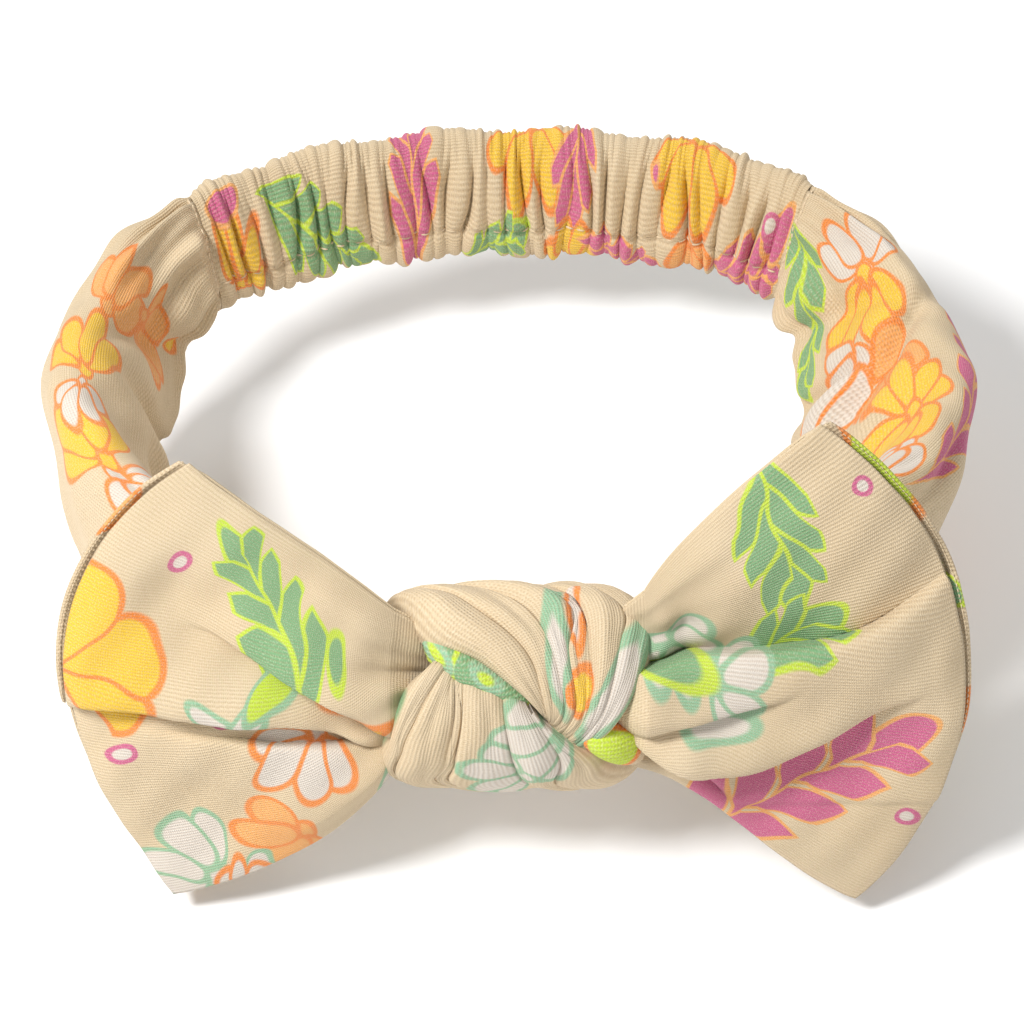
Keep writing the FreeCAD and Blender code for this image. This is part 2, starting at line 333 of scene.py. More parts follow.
class Cloth:
    """A knit material under construction: its coordinates in millimetres and the colour so far."""

    def __init__(self, name):
        self.material = bpy.data.materials.new(name)
        self.material.use_nodes = True
        self.tree = self.material.node_tree
        self.shader = self.tree.nodes["Principled BSDF"].inputs
        self.color = None

    def node(self, kind, **inputs):
        node = self.tree.nodes.new(kind)
        for key, value in inputs.items():
            feed(self.tree, node.inputs[key], value)
        return node

    def uv(self, name):
        """A UV map as one vector and as its two coordinates, in millimetres."""
        source = self.tree.nodes.new("ShaderNodeUVMap")
        source.uv_map = name
        split = self.tree.nodes.new("ShaderNodeSeparateXYZ")
        self.tree.links.new(source.outputs[0], split.inputs[0])
        return source.outputs[0], Num(self.tree, split.outputs[0]), Num(self.tree, split.outputs[1])

    def noise(self, vector, scale, detail=2.0):
        node = self.node("ShaderNodeTexNoise", Vector=vector, Scale=scale, Detail=detail)
        return Num(self.tree, node.outputs[0])

    def paint(self, mask, color):
        """Lays a colour over what is there, where mask is 1."""
        mix = self.tree.nodes.new("ShaderNodeMix")
        mix.data_type = "RGBA"
        for index, item in zip(MIX_COLOR_INPUTS, (mask, self.color, color)):
            feed(self.tree, mix.inputs[index], item)
        self.color = mix.outputs[MIX_COLOR_OUTPUT]

    def finish(self, relief, strength, depth, rough, **surface):
        """Gives the shader the colour, a bump from the relief, the roughness and what else is given."""
        bump = self.node("ShaderNodeBump", Height=relief, Strength=strength, Distance=depth * MM)
        surface.update({"Base Color": self.color, "Normal": bump.outputs[0], "Roughness": rough})
        for name, value in surface.items():
            feed(self.tree, self.shader[name], value)
        return self.material


GROUND = (0.63, 0.495, 0.315)
WARM = (0.68, 0.56, 0.385)
YELLOW = (0.80, 0.50, 0.035)
ORANGE = (0.80, 0.23, 0.035)
PEACH = (0.80, 0.37, 0.11)
SAGE = (0.175, 0.365, 0.175)
LIME = (0.50, 0.66, 0.04)
MAGENTA = (0.56, 0.105, 0.245)
MINT = (0.26, 0.47, 0.29)
PALE = (0.66, 0.60, 0.53)
THREAD = (0.70, 0.56, 0.38)
THREAD_SHADE = (0.52, 0.40, 0.26)
# lighter yarn fibres, also used as painted highlights
YARN_FLECK_AND_HIGHLIGHT = (0.90, 0.80, 0.66)
# painted shade for the knit's grooves
KNIT_PAINTED_SHADE = (0.34, 0.22, 0.12)
SHEEN = {
    "Sheen Weight": 0.12,
    "Sheen Roughness": 0.45,
    "Sheen Tint": (1.0, 0.93, 0.82),
    "Specular IOR Level": 0.25,
}
ELASTIC = (0.86, 0.85, 0.80)
# painted shade for the elastic's grooves
ELASTIC_PAINTED_SHADE = (0.45, 0.43, 0.38)
LINE = 0.78  # width of the print's outlines
SOFT = 0.30  # blur of the print's edges

INKS = {  # fill and outline of each kind of motif
    "yellow": (YELLOW, ORANGE),
    "peach": (PEACH, ORANGE),
    "white": (PALE, ORANGE),
    "green": (SAGE, LIME),
    "lime": (LIME, MINT),
    "citrus": (LIME, ORANGE),
    # sage with no outline, for a painted shadow line
    "moss": (SAGE, SAGE),
    "mint": (PALE, MINT),
    "magenta": (MAGENTA, PEACH),
}


def direction(turn):
    return math.cos(math.radians(turn)), math.sin(math.radians(turn))


def at_distance(at, turn, distance):
    c, s = direction(turn)
    return at[0] + distance * c, at[1] + distance * s


def turned(x, y, at, turn):
    """Coordinates along and across a direction from a point."""
    c, s = direction(turn)
    dx, dy = x - at[0], y - at[1]
    return dx * c + dy * s, dy * c - dx * s


def petal(cloth, x, y, ink, at, turn, length, width):
    """One egg-shaped petal or leaf, its narrow end at the point it grows from."""
    along, across = turned(x, y, at, turn)
    girth = along * (0.45 / length) + 0.72
    along = along * (2.0 / length) - 1.0
    edge = (along.hypot(across / (girth * (width / 2))) - 1.0) * (width * 0.45)
    draw(cloth, edge, ink)


# Petals of a blossom: forward, sideways, turn, length and width, all but the turn as shares of its size
BLOSSOM = [
    (-0.14, 0.0, 0.0, 0.45, 0.34),
    (0.06, -0.10, -50.0, 0.76, 0.46),
    (0.06, 0.10, 50.0, 0.76, 0.46),
    (0.12, 0.08, 19.0, 0.84, 0.46),
    (0.12, -0.06, -17.0, 0.90, 0.46),
]


def blossom(cloth, x, y, ink, at, turn, size):
    """A bell of overlapping petals: the neck, one to each side and two in front."""
    c, s = direction(turn)
    for ahead, aside, lean, length, width in BLOSSOM:
        place = (at[0] + (ahead * c - aside * s) * size, at[1] + (ahead * s + aside * c) * size)
        petal(cloth, x, y, ink, place, turn + lean, length * size, width * size)


def flower(cloth, x, y, ink, at, turn, petals, reach, width, step=50.0):
    """A fan of broad petals side by side round one point."""
    dx, dy = x - at[0], y - at[1]
    radius = dx.hypot(dy)
    angle = dy.op("ARCTAN2", dx) - math.radians(turn)
    angle = angle - (angle / TAU).op("ROUND") * TAU
    step = math.radians(step)
    half = (petals - 1) / 2
    shift = 0.0 if petals % 2 else 0.5
    index = ((angle / step + shift).op("ROUND") - shift).between(-half, half)
    angle = angle - index * step
    reach = index.op("MULTIPLY_ADD", reach * 0.09, reach)
    px, py = radius * angle.op("COSINE"), (radius * angle.op("SINE")).op("ABSOLUTE")
    girth = px / reach * 0.5 + 0.22
    along = px / reach * 2.0 - 1.06
    edge = (along.hypot(py / (girth * width)) - 1.0) * (width * 0.42)
    between = py * math.cos(step / 2) - px * math.sin(step / 2)
    draw(cloth, edge.op("MAXIMUM", between), ink)


def sprig(cloth, x, y, ink, at, turn, pairs, pitch, leaf, width, tilt=38.0):
    """Pairs of pointed leaves packed along a line, outlined where they meet, and one at the tip."""
    tip = at_distance(at, turn, pairs * pitch + leaf * 0.4)
    petal(cloth, x, y, ink, tip, turn + 180.0, leaf * 0.9, width)
    along, across = turned(x, y, at, turn)
    along = along + across.op("SIGN") * (pitch * 0.22)
    across = across.op("ABSOLUTE")
    c, s = direction(tilt)
    cell = along - across * (c / s)
    index = (cell / pitch).op("ROUND").between(0.0, pairs - 1.0)
    along_leaf = along - index * pitch
    px = (along_leaf * c + across * s).op("MAXIMUM", 0.0)
    py = (across * c - along_leaf * s).op("ABSOLUTE")
    length = index * (-0.35 * leaf / pairs) + leaf
    belly = (px / length - 0.38) / 0.62
    edge = py - (belly * belly * -1.0 + 1.0) * (width / 2)
    meeting = ((cell - index * pitch).op("ABSOLUTE") - pitch / 2) * s
    draw(cloth, edge.op("MAXIMUM", meeting).op("MAXIMUM", across * -1.0), ink)


def ring(cloth, x, y, at, radius=1.9, half_line=0.55):
    """A small magenta ring with a pale centre."""
    edge = (x - at[0]).hypot(y - at[1]) - radius
    cloth.paint(edge.inside(SOFT), PALE)
    cloth.paint((edge.op("ABSOLUTE") - half_line).inside(SOFT), MAGENTA)


def draw(cloth, edge, ink):
    """Fills inside an edge distance and outlines it."""
    fill, line = INKS[ink]
    cloth.paint(edge.inside(SOFT), fill)
    cloth.paint((edge.op("ABSOLUTE") - LINE / 2).inside(SOFT), line)


RIB = 0.79  # spacing of the knit's wales
STITCH = 0.62  # and of its courses
PRINT_SWAY = 5.0  # how far the print wanders, so that no two motifs are alike
KNOT_SWAY = 1.5  # and on the knot, where the motifs are small
CORD = 1.1  # spacing of the elastic's cords
PICK = 0.7  # and of the weave across them


def jersey(name, motifs, sway=PRINT_SWAY):
    """Printed knit: ground colour, motifs, ribs, light yarn flecks that also serve as painted highlights,
    painted shade in the knit's grooves, stitches and a soft sheen.
    """
    cloth = Cloth(name)
    flat, x, y = cloth.uv("print")
    knit, u, v = cloth.uv("cloth")
    x = x + (cloth.noise(flat, 0.10, 0.0) - 0.5) * sway
    y = y + (cloth.noise(flat, 0.085, 0.0) - 0.5) * sway
    cloth.color = GROUND
    cloth.paint((cloth.noise(flat, 0.045) - 0.38).between(0.0, 0.4) * 1.5, WARM)
    for kind, *details in motifs:
        kind(cloth, x, y, *details)
    yarn = cloth.noise(knit, 2.4, 3.0)
    # Lighter flecks where the yarn stands up: partly heathered fibres, partly a painted highlight on the
    # raised yarn.
    cloth.paint(((yarn - 0.49) * 1.6).between(0.0, 0.20), YARN_FLECK_AND_HIGHLIGHT)
    wale = (v * (TAU / RIB) + cloth.noise(knit, 0.5) * 1.2).op("COSINE")
    chevron = ((v / RIB).op("FRACT") - 0.5).op("ABSOLUTE")
    course = (u * (TAU / STITCH) + chevron * 5.0).op("COSINE")
    relief = wale * 0.34 + course * 0.24 + yarn * 0.42
    # Painted shade: the knit darkens where its relief sinks, in the grooves between wales and courses and
    # in low yarn.
    cloth.paint((relief * -0.50 + 0.20).between(0.0, 0.42), KNIT_PAINTED_SHADE)
    return cloth.finish(relief, 0.7, 0.2, yarn * 0.15 + 0.72, **SHEEN)


@functools.cache
def thread_material():
    """Twisted polyester sewing thread in the ground colour."""
    cloth = Cloth("sewing_thread")
    place = cloth.tree.nodes.new("ShaderNodeTexCoord").outputs["Object"]
    wave = cloth.node("ShaderNodeTexWave", Vector=place, Scale=900.0, Distortion=2.0)
    ply = Num(cloth.tree, wave.outputs[1])
    cloth.color = THREAD
    cloth.paint(ply * 0.3, THREAD_SHADE)
    return cloth.finish(ply, 0.6, 0.1, 0.55)


@functools.cache
def elastic_material():
    """White woven elastic: fine lengthwise cords crossed by a weave, with painted shade in its grooves."""
    cloth = Cloth("woven_elastic")
    _, u, v = cloth.uv("cloth")
    cords = (v * (TAU / CORD)).op("COSINE")
    weave = (u * (TAU / PICK) + (v * (math.pi / CORD)).op("SINE") * 2.0).op("COSINE")
    relief = cords * 0.6 + weave * 0.4
    cloth.color = ELASTIC
    # Painted shade: the elastic darkens where its relief sinks between cords and picks.
    cloth.paint((relief * -0.3 + 0.05).between(0.0, 0.3), ELASTIC_PAINTED_SHADE)
    return cloth.finish(relief, 0.8, 0.2, 0.6)


# ---- folds


def waves(u, v, *parts):
    """Sum of soft waves, each (size, length along u, length along v, start)."""
    total = 0.0 * u
    for size, lu, lv, start in parts:
        total = total + size * np.sin(TAU * (u / lu + v / lv) + start)
    return total


def pillow(phase, sharp):
    """Rounded ridges with narrow creases between them, from 0 to 1."""
    return np.abs(np.cos(phase / 2)) ** sharp


def hill(distance, width):
    """A smooth rise to 1 where the distance is 0."""
    return np.exp(-(distance / width) ** 2)


def crease(distance, width):
    """A valley, -1 at its deepest, with a soft shoulder on its positive side."""
    return 0.5 * hill(distance - 2.2 * width, 1.8 * width) - hill(distance, width)


# ---- side bands


def line_distance(u, v, a, b):
    """Signed distance from the line a to b, and how far along it the point is, 0 to 1."""
    a, b = np.array(a, float), np.array(b, float)
    d = b - a
    length = np.hypot(*d)
    d /= length
    return (u - a[0]) * -d[1] + (v - a[1]) * d[0], ((u - a[0]) * d[0] + (v - a[1]) * d[1]) / length


BAND_FOLDS = {  # (start, end, width, depth): along the band, and round it from the top edge
    -1: [((136, -62), (112, -22), 3.2, 4.2), ((118, -12), (150, -30), 3, 2.4),
         ((60, -48), (104, -30), 4, 2), ((20, 14), (70, 2), 2.4, 2), ((119, -60), (110, -26), 2.6, 2.6)],
    1: [((140, -58), (116, -22), 3, 3.6), ((122, -8), (150, -34), 3, 2.6),
        ((92, -46), (112, -14), 3.6, 2.2), ((40, 26), (88, 6), 3.2, 2),
        ((20, -16), (70, -2), 2.4, 2), ((121, 0), (106, -32), 2.6, 3.4)],
}
BAND_PRINT_ROUND = 120.0  # width of the band's cloth once round, on the print


def band_bulge(sign, angle, along, round_mm, turn):
    """How far the cloth stands out from the plain tube."""
    near_knot = 1 - smooth(16, 62, np.abs(angle))
    near_join = smooth(100, 131, np.abs(angle))
    bulge = 1.7 * near_knot * np.sin(8 * turn + 0.02 * along + sign)
    bulge += 0.9 * near_knot * np.sin(13 * turn - 0.05 * along + 2.0)
    bulge += near_join * (1.1 * np.sin(9 * turn + 0.08 * along) + 0.7 * np.sin(15 * turn + 1.0))
    closing = 1 - smooth(0.84, 1.0, np.abs(turn) / math.pi)
    bulge += closing * waves(along, round_mm, (0.7, 62, 48, 0.4 + sign), (0.6, -44, 37, 2.1),
                             (0.35, 23, -31, 1.3), (0.22, 13, 17, 0.2))
    for a, b, width, depth in BAND_FOLDS[sign]:
        distance, t = line_distance(along, round_mm, a, b)
        fade = smooth(-0.25, 0.2, t) * (1 - smooth(0.8, 1.25, t))
        bulge += depth * fade * closing * crease(distance, width)
    pinch = hill(np.abs(angle) - JOIN_ANGLE, 1.6)
    return bulge * (1 - 0.8 * pinch) - 0.9 * pinch


def tube_turns(count, crowding):
    """Angles round a flat tube, from its bottom edge, closer together at the top and bottom edges."""
    turns = np.linspace(-math.pi, math.pi, count, endpoint=False)
    return turns - crowding * np.sin(2 * turns)


def band(sign, material):
    """A side band: one sewn tube of cloth from inside the knot to the casing's end."""
    side = SIDE[sign]
    angles = sign * np.linspace(BAND_FIRST, JOIN_ANGLE, 230)
    turns = tube_turns(150, 0.35)
    angle, turn = np.meshgrid(angles, turns, indexing="ij")
    along = np.broadcast_to(arc_length(angles), angle.shape)
    round_mm = turn / math.pi * 2 * half_height(angle)
    bulge = band_bulge(sign, angle, along, round_mm, turn)
    squeeze = 0.5 + 0.5 * smooth(BAND_FIRST, 25.0, np.abs(angle))[..., None]
    middle = centre(angle)
    points = middle + (tube_point(angle, turn, bulge) - middle) * squeeze
    uv = uv_map(along, turn / TAU * BAND_PRINT_ROUND, BAND_PRINT_ROUND)
    piece = make_cloth(side + "_band_cloth", points, material, uv, tube=True, thickness=CLOTH_THICK,
                       flip=sign > 0)
    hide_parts(side + "_band_outer_panel", side + "_band_inner_panel")
    held, free = centre(sign * np.array([BAND_HELD, BAND_FREE])) * MM
    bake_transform(piece)
    band_seams(side, angles, points)


def band_seams(side, angles, points):
    """Thread along the band's lower edge and round its join with the casing."""
    seen = slice(25, -8)  # clear of the knot and of the join
    down = -cross_axes(angles[seen])[0]
    row = stitches(side + "_band_edge_stitches", points[seen, 0] - down * 0.12, down)
    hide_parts(side + "_band_edge_seams")
    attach(row, side + "_band")
    last = np.concatenate([points[-2], points[-2][:1]])
    outward = unit(last - points[-2].mean(0))
    row = stitches(side + "_join_stitches", last - outward * 0.1, outward, pitch=2.0)
    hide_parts(side + "_join_seam")
    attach(row, side + "_band")


# ---- gathered casing

GATHER = 4.4  # relaxed width of one gather
ELASTIC_WIDE = 25.0
ELASTIC_THICK = 1.0
CASING_FULLNESS = 1.6  # cloth in the casing's length when it is pulled flat
CASING_PRINT_ROUND = 62.0  # width of the casing's cloth once round, on the print
CASING_GIVES_FROM = 171.0  # angle of a point on the back, worked out in stretch but not used
SEAM_DOWN = math.acos(-0.5)  # place of the casing's seam, round from its top edge


def casing_bulge(angle, along, turn):
    """The gathers: rounded ridges across the casing that lean, widen and run into each other."""
    height = 16 * np.cos(turn)
    sway = waves(along, height, (0.8, 21, 64, 0.3), (0.7, 34, -52, 1.9), (0.40, 12, 45, 4.0),
                 (0.25, 7, -58, 2.0))
    phase = TAU * (along + sway) / GATHER
    top = smooth(0.25, 0.95, np.cos(turn))
    below = smooth(-0.5, -0.62, np.cos(turn))
    wide = pillow(phase, 0.5)
    tight = pillow(phase * 2 + 0.9 * np.sin(along / 5), 0.6)
    broad = pillow(phase * 0.5 + 0.8, 0.6)
    ridge = wide * (1 - 0.45 * top - 0.5 * below) + 0.45 * top * tight + 0.5 * below * broad
    uneven = 1 + 0.38 * waves(along, height, (1.0, 17, 48, 0.5), (0.6, 9.5, -60, 2.0))
    bulge = 2.7 * uneven * (1 - 0.35 * top) * (ridge - 0.7)
    bulge += 0.7 * waves(along, height, (1.0, 27, 45, 3.0))
    seam = hill(np.cos(turn) - math.cos(SEAM_DOWN), 0.05)
    join = hill(np.abs(angle) - JOIN_ANGLE, 1.8)
    bulge = bulge * (1 - 0.5 * seam) - 0.9 * seam
    return bulge * (1 - 0.7 * join) - 0.9 * join


def casing_half(sign, material):
    """Half of the gathered casing, from the middle of the back to the join with a side band."""
    side = SIDE[sign]
    angles = sign * np.linspace(180.0, JOIN_ANGLE, 330)
    turns = tube_turns(120, 0.3)
    angle, turn = np.meshgrid(angles, turns, indexing="ij")
    along = sign * np.broadcast_to(arc_length(angles), angle.shape)
    points = tube_point(angle, turn, casing_bulge(angle, along, turn))
    uv = uv_map(along * CASING_FULLNESS, turn / TAU * CASING_PRINT_ROUND, CASING_PRINT_ROUND)
    piece = make_cloth(side + "_casing_cloth", points, material, uv, tube=True, thickness=CLOTH_THICK,
                       flip=sign < 0)
    if sign < 0:
        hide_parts("rear_casing")
    stretch(piece, sign)
    column = int(np.argmin(np.abs(turns + SEAM_DOWN)))
    seen = slice(4, -6)
    inward = -cross_axes(angles)[1][seen]
    row = stitches(side + "_casing_stitches", points[seen, column] - inward * 0.1, inward)
    if sign < 0:
        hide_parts("casing_seam_stitching")
    stretch(row, sign)
    elastic_half(sign, side)


def elastic_half(sign, side):
    """Half of the elastic strip inside the casing."""
    angles = sign * np.linspace(180.0, JOIN_ANGLE + 0.5, 60)
    heights = np.linspace(-ELASTIC_WIDE / 2, ELASTIC_WIDE / 2, 26)
    angle, height = np.meshgrid(angles, heights, indexing="ij")
    up, out = cross_axes(angle)
    points = centre(angle) + up * height[..., None] + out * (ELASTIC_THICK / 2)
    piece = make_cloth(side + "_elastic", points, elastic_material(), uv_map(arc_length(angles), height),
                       thickness=ELASTIC_THICK, flip=sign > 0)
    if sign < 0:
        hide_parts("elastic_strip")
    stretch(piece, sign)


def stretch(piece, sign):
    """Bakes the piece's place into its mesh."""
    held, free = centre(sign * np.array([CASING_GIVES_FROM, JOIN_ANGLE])) * MM
    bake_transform(piece)


# ---- bow tails

TAIL_LEAN = math.radians(25.0)
TAIL_UP = np.array([0.0, math.sin(TAIL_LEAN), math.cos(TAIL_LEAN)])
TAIL_OUT = np.array([0.0, -math.cos(TAIL_LEAN), math.sin(TAIL_LEAN)])
TAIL_FORWARD = 5.2  # the tails' plane is this far in front of the knot's middle
TAIL = {  # four edges in the tails' plane, sideways and up from the knot
    -1: {
        "root": ((-24, -14), (-25.5, -4), (-25.5, 10), (-24, 19.5)),
        "lower": ((-24, -14), (-34, -30), (-50, -39), (-68.8, -43.6)),
        "upper": ((-24, 19.5), (-37, 31), (-49, 39), (-62.8, 50.8)),
        "end": ((-68.8, -43.6), (-85.8, -18), (-104.6, 22), (-62.8, 50.8)),
    },
    1: {
        "root": ((24, -14), (25.5, -3), (25.5, 12), (25, 23.5)),
        "lower": ((24, -14), (37, -17), (53, -37.8), (67.8, -44.6)),
        "upper": ((25, 23.5), (31, 35), (45, 47.8), (57.8, 58.8)),
        "end": ((67.8, -44.6), (92.8, -22), (98.2, 30), (57.8, 58.8)),
    },
}
TUCKED = {-1: ((-11, -8), (-11, 10)), 1: ((11, -11), (11, 9))}  # ends of the root line in the knot
TUCK_SHARE = 0.16  # how much of s lies inside the knot
# Pleats: stops (distance from the knot, height, size), then 1 where the cloth above the line lies on
# top or -1 where the cloth below it does, and the distance over which the raised side fades
PLEATS = {
    -1: [
        (((10, -3, 3), (24, -2, 6), (33, 5, 6.5), (43, 10.4, 6), (51, 14, 4), (58, 16.5, 1.5),
          (66, 18, 0)), 1, 15),
        (((10, -6, 3), (26, -7.6, 5), (34, -3.5, 5), (43, -0.4, 5), (54, 0.2, 4.8), (66, 1.1, 4.4),
          (78, 2, 3.6), (92, 0, 2.4)), 1, 11),
        (((10, -9, 2), (26, -10, 3), (38, -10, 2.8), (50, -9, 2.2), (62, -7, 1.2), (74, -5, 0)), -1, 8),
    ],
    1: [
        (((10, 5, 3), (24, 6.7, 5.5), (36, 9.8, 6.2), (48, 11.1, 6.2), (59, 13.3, 5.4), (69, 17, 4.2),
          (79, 23, 2.2), (87, 28, 0)), -1, 10),
        (((10, -3, 3), (21, -3, 5), (30, -6, 6), (38, -8.5, 6.2), (48, -8.5, 5.8), (58, -4.8, 4.2),
          (69, 0.2, 2), (80, 4, 0)), 1, 9),
        (((10, 1, 1), (23, -0.5, 2), (36, 1, 2.2), (48, 4, 1.4), (56, 7, 0)), 1, 5),
        (((22, -4, 0), (28, -6, 2), (33, -9, 2.6), (38, -15, 2.2), (43, -22, 0.5)), 1, 4),
    ],
}
DIMPLES = {  # (sideways, up, depth, radius); a negative depth stands out
    -1: [(-66, 23, 2.8, 8), (-76, 30, -1.5, 9), (-46, 30, 1.2, 9), (-62, -22, 1.2, 12),
         (-40, -22, -1.4, 8)],
    1: [(80, 26, 2.8, 7), (66, 34, -1.4, 12), (40, 24, -1.4, 9), (62, -24, 1.4, 12), (84, 4, -1.6, 10),
        (32, 11, 1.7, 3.2), (32.5, 17, 1.7, 3.2), (28, 13, -1.5, 3), (28, 19, -1.6, 3)],
}
TAIL_LONG = 92.0  # the tail's cloth as the knit's coordinates measure it
TAIL_WIDE = 120.0
TAIL_CLOTH_THICK = 0.6
TAIL_HELD = 22.0  # distance from the knot's middle of a point worked out in hang but not used
TAIL_FREE = 38.0  # and of a point further out, likewise not used


def bezier(stops, t):
    """Points on a cubic curve with four control points."""
    k = [(1 - t) ** 3, 3 * t * (1 - t) ** 2, 3 * t * t * (1 - t), t ** 3]
    return sum(w[..., None] * np.array(p) for w, p in zip(k, stops))


def in_the_knot(s):
    return np.clip(-s / TUCK_SHARE, 0, 1)


def tail_flat(sign, s, w):
    """Place in the tails' plane: s from the knot's edge 0 to the end 1, negative inside the knot."""
    outline = TAIL[sign]
    inside = in_the_knot(s)[..., None]
    s = np.maximum(s, 0)
    low, high = bezier(outline["lower"], s), bezier(outline["upper"], s)
    root, end = bezier(outline["root"], w), bezier(outline["end"], w)
    s, w = s[..., None], w[..., None]
    corner = [np.array(outline[k][i]) for k, i in (("root", 0), ("root", 3), ("end", 0), ("end", 3))]
    twice = (corner[0] * (1 - w) + corner[1] * w) * (1 - s) + (corner[2] * (1 - w) + corner[3] * w) * s
    flat = low * (1 - w) + high * w + root * (1 - s) + end * s - twice
    lower, upper = np.array(TUCKED[sign])
    return flat * (1 - inside) + (lower * (1 - w) + upper * w) * inside


def ease(x, xs, ys):
    """Smooth curve through stops: a cubic with gentle slopes."""
    xs, ys = np.array(xs, float), np.array(ys, float)
    slope = np.gradient(ys, xs)
    k = np.clip(np.searchsorted(xs, x) - 1, 0, len(xs) - 2)
    h = xs[k + 1] - xs[k]
    t = np.clip((x - xs[k]) / h, 0, 1)
    a, b = 2 * t ** 3 - 3 * t ** 2 + 1, t ** 3 - 2 * t ** 2 + t
    return ys[k] * a + h * slope[k] * b + ys[k + 1] * (1 - a) + h * slope[k + 1] * (t ** 3 - t ** 2)


def tail_folds(sign, x, v, w, s, back):
    """Out-of-plane height of the folded cloth and its shift up or down the tail's plane.

    The back cloth passes behind the front's pleats and meets them again at the tail's end.
    """
    away = np.abs(x)
    fan = np.arctan2(v - 2, away - 4)
    near = 1 - smooth(22, 52, away)
    height = 0.75 * near * np.sin(17 * fan + sign) + 0.4 * near * np.sin(31 * fan + 2.0)
    height += waves(x, v, (0.9, 88, 61, 0.6 + sign), (0.6, -52, 37, 1.5), (0.28, 27, 21, 0.7),
                    (0.2, 13, -17, 3.0))
    shift, behind = 0.0 * x, height
    for stops, side, soft in PLEATS[sign]:
        place, level, size = zip(*stops)
        line = ease(away, place, level)
        grow = np.maximum(ease(away, place, size), 0)
        slope = ease(away + 0.5, place, level) - ease(away - 0.5, place, level)
        d = side * (v - line) / np.sqrt(1 + slope ** 2)
        on_top = smooth(-1.1, 1.1, d)
        height += grow * on_top * np.exp(-np.maximum(d - 2, 0) / soft) * (0.75 + 0.25 * smooth(0, 4, d))
        height -= 0.55 * grow * (1 - on_top) * np.exp(-np.maximum(-d, 0) / 5.5)
        shift -= side * 0.62 * grow * on_top * hill(np.maximum(d - 1, 0), 3.2)
        behind = behind - 0.6 * grow * np.exp(-np.abs(d) / 6.5)
    for cx, cv, depth, radius in DIMPLES[sign]:
        dimple = depth * hill(np.hypot(x - cx, v - cv), radius)
        height, behind = height - dimple, behind - dimple
    rim = smooth(0, 0.09, w) * (1 - smooth(0.91, 1.0, w))
    if back:
        meet = smooth(0.8, 1.0, s)
        height, shift = height * meet + behind * (1 - meet), shift * meet
    return height * (0.35 + 0.65 * rim), shift * rim


def tail_grid(sign, back=False):
    """Surface points of a tail's front or back cloth, from inside the knot to its end."""
    s = np.concatenate([np.linspace(-TUCK_SHARE, 0, 22, endpoint=False), np.linspace(0, 1, 120)])
    s, w = np.meshgrid(s, np.linspace(0, 1, 230), indexing="ij")
    flat = tail_flat(sign, s, w)
    height, shift = tail_folds(sign, flat[..., 0], flat[..., 1], w, s, back)
    inside = in_the_knot(s)
    height = height * (1 - 0.5 * inside)
    free = np.maximum(s, 0)
    close = (4 * w * (1 - w)) ** 0.5 * (1 - smooth(0.90, 1.0, free) ** 2) ** 0.5
    room = 0.2 + (1.5 + 1.5 * np.sin(math.pi * free)) * close * (1 - 0.6 * inside)
    reach = np.where(back, 1.5, -0.5) * smooth(0.9, 1.0, free) * smooth(0.2, 0.7, w)
    if back:
        room = -room
    deep = TAIL_FORWARD + (height + room) * (1 - 0.25 * inside) - 3.0 * inside
    points = KNOT + TAIL_OUT * deep[..., None] + TAIL_UP * (flat[..., 1] + shift)[..., None]
    points[..., 0] += flat[..., 0] + sign * reach
    return s, w, flat, points


def tail(sign, front_material, back_material):
    """A bow tail: front cloth, back cloth and the stitches round their edges."""
    side = SIDE[sign]
    rims = []
    for face, material in (("front", front_material), ("back", back_material)):
        s, w, flat, points = tail_grid(sign, face == "back")
        piece = make_cloth(side + "_tail_" + face + "_cloth", points, material,
                           uv_map(s * TAIL_LONG, (w - 0.5) * TAIL_WIDE), uv_map(flat[..., 0], flat[..., 1]),
                           thickness=TAIL_CLOTH_THICK, flip=(sign > 0) != (face == "back"))
        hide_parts(side + "_tail_" + face + "_panel")
        hang(piece, sign)
        rims.append(np.concatenate([points[40:, 0], points[-1, 1:], points[-2:40:-1, -1]]))
    normals = rims[0] - (KNOT + TAIL_OUT * TAIL_FORWARD + (sign * 50.0, 0, 0))
    row = stitches(side + "_tail_edge_stitches", rims[0] * 0.35 + rims[1] * 0.65, normals,
                   pitch=1.1, radius=0.12)
    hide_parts(side + "_tail_edge_seam")
    hang(row, sign)


def hang(piece, sign):
    """Bakes the tail piece's place into its mesh."""
    held, free = [(KNOT + (sign * x, -TAIL_FORWARD, 0.0)) * MM for x in (TAIL_HELD, TAIL_FREE)]
    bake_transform(piece)


# ---- knot

